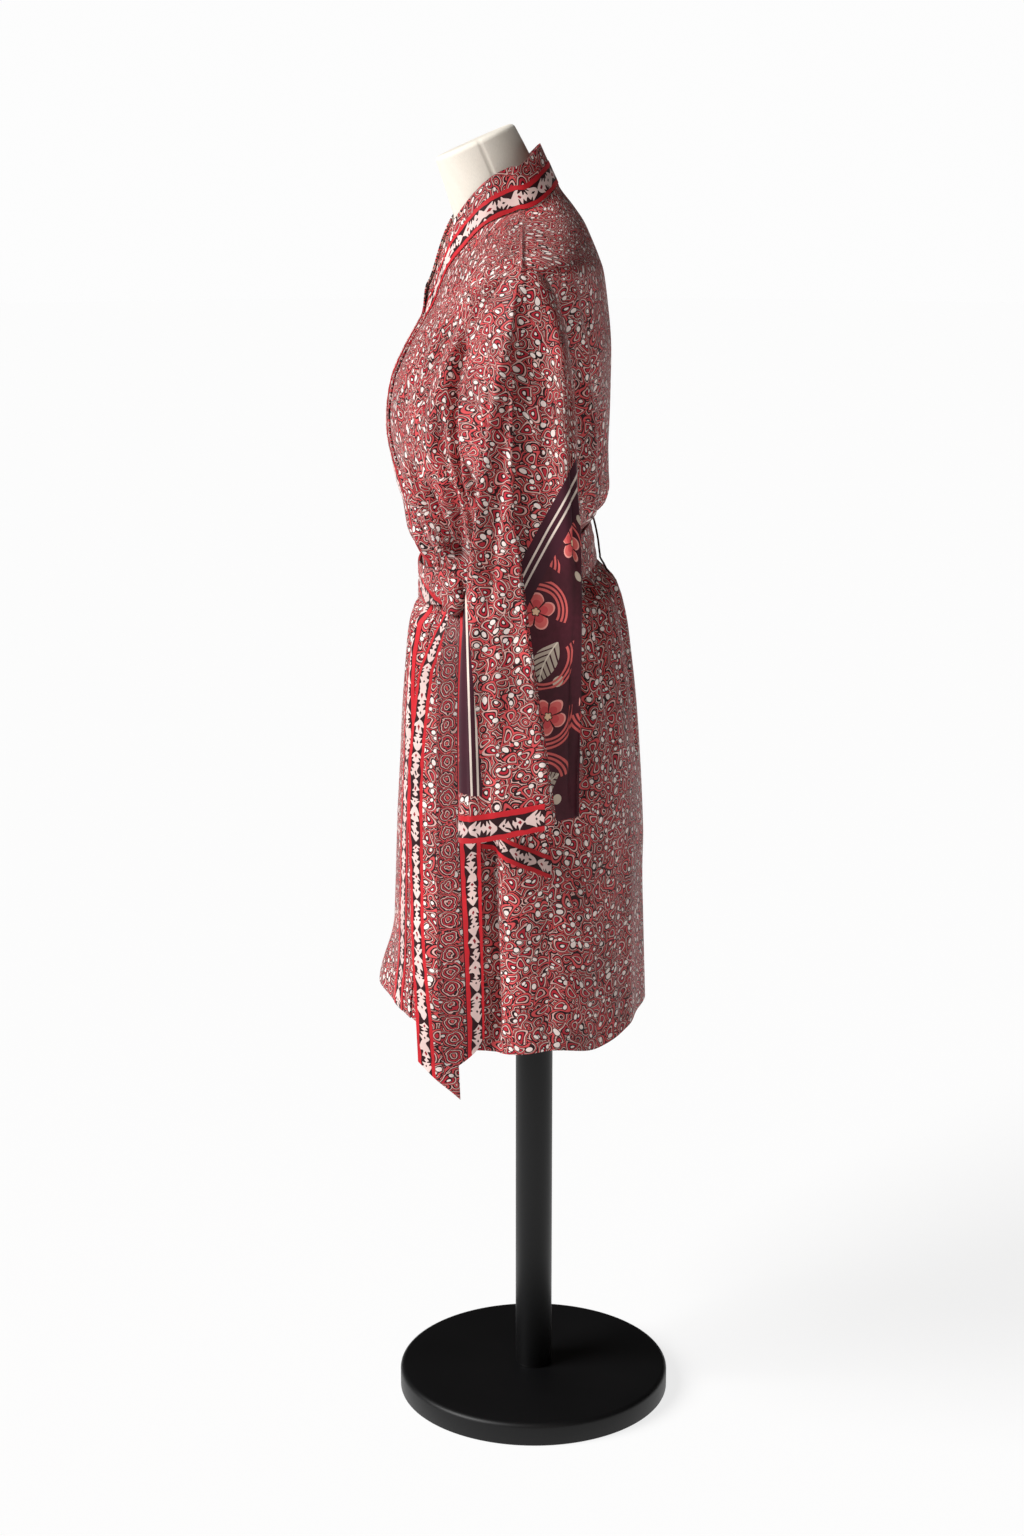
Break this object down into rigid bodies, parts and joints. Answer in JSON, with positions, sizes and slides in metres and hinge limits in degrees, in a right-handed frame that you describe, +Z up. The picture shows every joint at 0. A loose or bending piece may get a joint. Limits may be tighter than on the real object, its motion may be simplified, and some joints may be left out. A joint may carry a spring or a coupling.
{
  "type": "wrap kimono robe on a dress form and stand",
  "caption": "Knee-length wrap kimono robe with wide sleeves and a tie belt, worn by a limbless dress form on a pole and round base.",
  "frame": {"origin": "centre of the underside of the base disc", "axes": "+Z up, -Y the robe's front, +X the robe's left side"},
  "size_m": [0.5212, 0.3384, 1.4817],
  "materials": {
    "stand_black": "satin black powder coat",
    "form_linen": "plain cream linen, matt",
    "printed_cloth": "light smooth cloth with a small red, cream and plum paisley print, soft sheen",
    "border_cloth": "printed border with a leaf chain between two red lines, soft sheen"
  },
  "bodies": {
    "root": {"base_disc": "stand_black", "pole": "stand_black", "form_body": "form_linen", "neck_cap": "form_linen", "back": "printed_cloth", "left_front": "printed_cloth", "right_front": "printed_cloth", "left_sleeve": "printed_cloth", "right_sleeve": "printed_cloth", "left_cuff": "border_cloth", "right_cuff": "border_cloth", "neckband_left": "printed_cloth", "neckband_right": "printed_cloth", "border_left": "border_cloth", "border_right": "border_cloth", "belt": "printed_cloth", "belt_knot": "printed_cloth", "belt_tail_a": "printed_cloth", "belt_tail_b": "printed_cloth", "belt_loop": "printed_cloth", "pocket_band": "border_cloth"}
  },
  "joints": []
}
